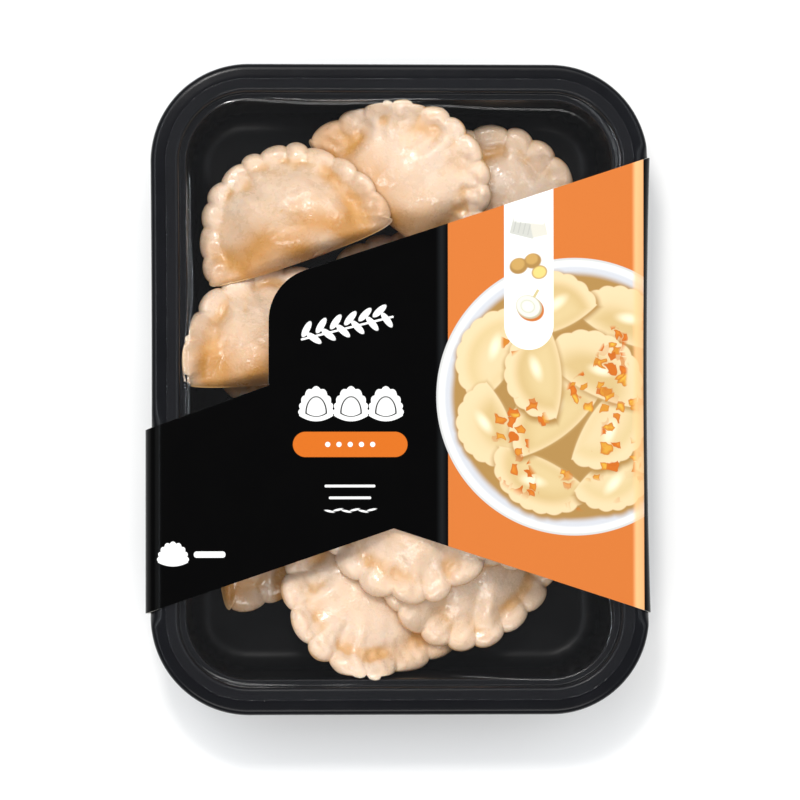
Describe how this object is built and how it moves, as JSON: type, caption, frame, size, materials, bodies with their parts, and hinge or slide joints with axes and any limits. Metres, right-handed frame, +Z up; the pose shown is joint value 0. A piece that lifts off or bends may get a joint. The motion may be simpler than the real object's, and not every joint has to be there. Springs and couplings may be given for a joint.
{
  "type": "tray pack of pierogi dumplings",
  "caption": "Black plastic tray under a clear lid film, with a printed carton sleeve round its middle, filled with half-moon dumplings with crimped edges.",
  "frame": {"origin": "middle of the box round the pack, at the plane on which the sleeve's underside rests", "axes": "+Z up, +Y along the pack's long direction towards its upper short side, +X to the right as seen from above"},
  "size_m": [0.1804, 0.232, 0.0397],
  "materials": {
    "tray": "smooth satin black",
    "dough": "soft, slightly moist boiled dough",
    "film": "clear gloss film",
    "card": "coated printed board with a low sheen"
  },
  "bodies": {
    "root": {"tray": "tray", "dumpling_01": "dough", "dumpling_02": "dough", "dumpling_03": "dough", "dumpling_04": "dough", "dumpling_05": "dough", "dumpling_06": "dough", "dumpling_07": "dough", "dumpling_08": "dough", "dumpling_09": "dough", "dumpling_10": "dough", "dumpling_11": "dough", "film": "film", "sleeve": "card"}
  },
  "joints": []
}
